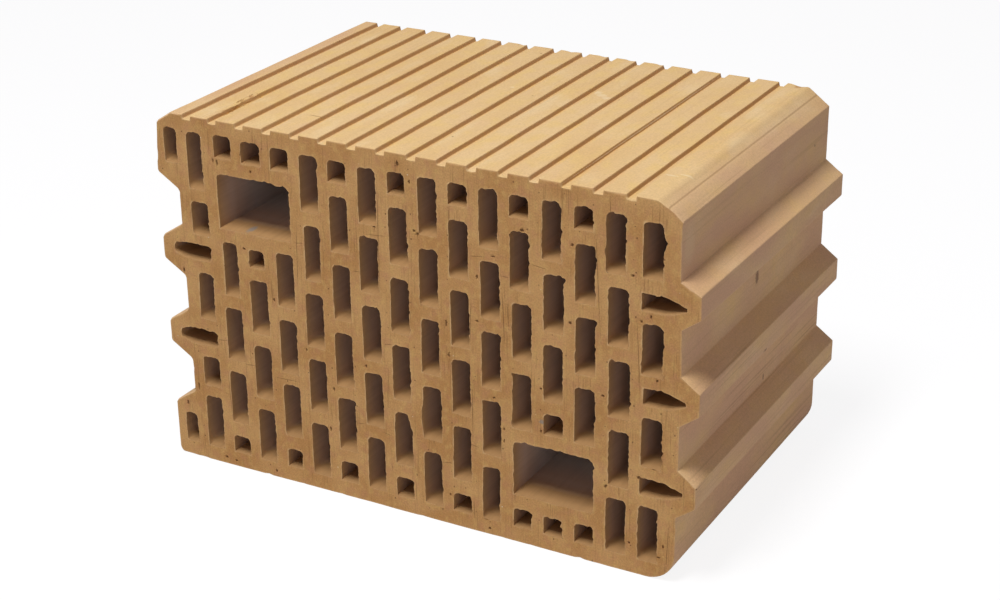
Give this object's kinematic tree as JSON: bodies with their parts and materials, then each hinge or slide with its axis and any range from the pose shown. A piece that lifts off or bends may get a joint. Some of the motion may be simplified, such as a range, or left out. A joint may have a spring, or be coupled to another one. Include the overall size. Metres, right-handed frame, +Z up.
{
  "type": "hollow clay block",
  "caption": "Hollow fired clay wall block with rows of chambers, grip holes, tongue-and-groove head joints and plaster keys, lying on a wall face.",
  "frame": {"origin": "on the floor, under the middle of the block's box, tongues included", "axes": "+X along the wall towards the end with the tongues, +Y along the chambers, +Z up through the wall's thickness, from the plain wall face to the one with plaster keys"},
  "size_m": [0.3874, 0.238, 0.25],
  "materials": {
    "fired_clay": "matte"
  },
  "bodies": {
    "root": {"clay_block": "fired_clay"}
  },
  "joints": []
}
